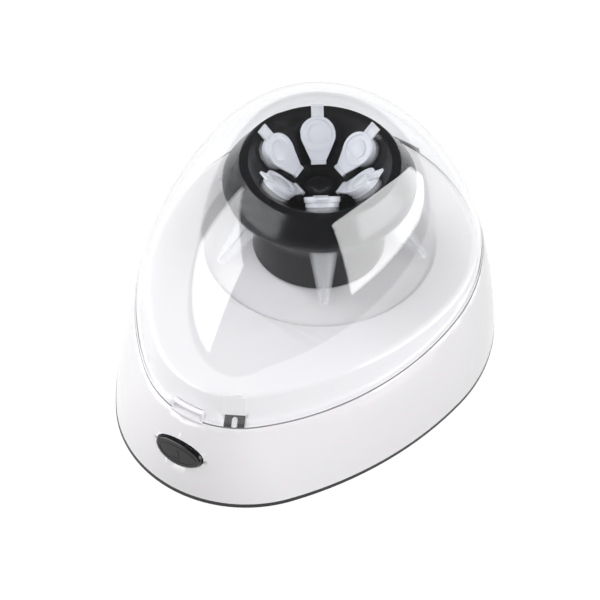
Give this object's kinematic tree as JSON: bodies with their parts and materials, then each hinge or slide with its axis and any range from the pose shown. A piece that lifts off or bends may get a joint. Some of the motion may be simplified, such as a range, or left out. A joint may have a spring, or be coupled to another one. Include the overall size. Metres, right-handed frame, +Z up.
{
  "type": "mini centrifuge",
  "caption": "Bench mini centrifuge: egg-shaped white housing, clear domed lid on a rear hinge, black angled rotor with capped microtubes, oval release button.",
  "frame": {"origin": "centre of the footprint on the bench, at the underside of the feet", "axes": "+Z up, -Y the narrow front with the release button, +X to the viewer's right seen from the front"},
  "size_m": [0.1384, 0.1694, 0.1134],
  "materials": {
    "white_plastic": "glossy moulded ABS, cool white",
    "clear_plastic": "clear moulded polycarbonate",
    "frosted_plastic": "natural translucent polypropylene",
    "black_plastic": "glossy black moulded plastic",
    "grey_plastic": "matt grey acetal",
    "rubber": "soft black rubber",
    "steel": "zinc-plated or ground steel",
    "brass": "turned brass",
    "board": "green solder mask on glass epoxy"
  },
  "bodies": {
    "housing": {"base_plate": "black_plastic", "body_shell": "white_plastic", "interlock_housing": "black_plastic", "interlock_switch": "black_plastic", "motor": "steel", "motor_plate": "steel", "motor_screws": "steel", "motor_dampers": "rubber", "damper_screws": "steel", "latch_bracket": "grey_plastic", "bracket_screws": "steel", "button_spring": "steel", "circuit_board": "board", "board_screws": "steel", "board_capacitor": "black_plastic", "board_driver": "black_plastic", "board_plug": "grey_plastic", "dc_jack": "black_plastic", "hinge_pin": "steel", "base_screws": "steel", "foot_1": "rubber", "foot_2": "rubber", "foot_3": "rubber", "foot_4": "rubber"},
    "lid": {"lid": "clear_plastic"},
    "rotor": {"rotor": "black_plastic", "rotor_nut": "black_plastic", "hub_bush": "brass", "motor_shaft": "steel", "microtube_1": "frosted_plastic", "microtube_2": "frosted_plastic", "microtube_3": "frosted_plastic", "microtube_4": "frosted_plastic", "microtube_5": "frosted_plastic", "microtube_6": "frosted_plastic"},
    "latch": {"release_button": "black_plastic", "latch_slide": "grey_plastic"},
    "interlock": {"interlock_plunger": "white_plastic"}
  },
  "joints": [
    {"name": "lid_hinge", "type": "hinge", "parent": "housing", "child": "lid", "pos_m": [0, 0.07885, 0.04003], "axis": [-1, 0, 0], "range_deg": [0, 95]},
    {"name": "rotor_spin", "type": "hinge", "parent": "housing", "child": "rotor", "pos_m": [0, 0.01435, 0.05], "axis": [0, 0, 1], "continuous": true},
    {"name": "latch_press", "type": "slide", "parent": "housing", "child": "latch", "axis": [0, 1, 0], "range_m": [0, 0.0025], "stiffness_N_per_m": 800, "springref_m": -0.002, "deforming": ["button_spring"]},
    {"name": "interlock_press", "type": "slide", "parent": "housing", "child": "interlock", "axis": [0, 0.1167, -0.9932], "range_m": [0, 0.0015], "stiffness_N_per_m": 300, "springref_m": -0.001}
  ]
}
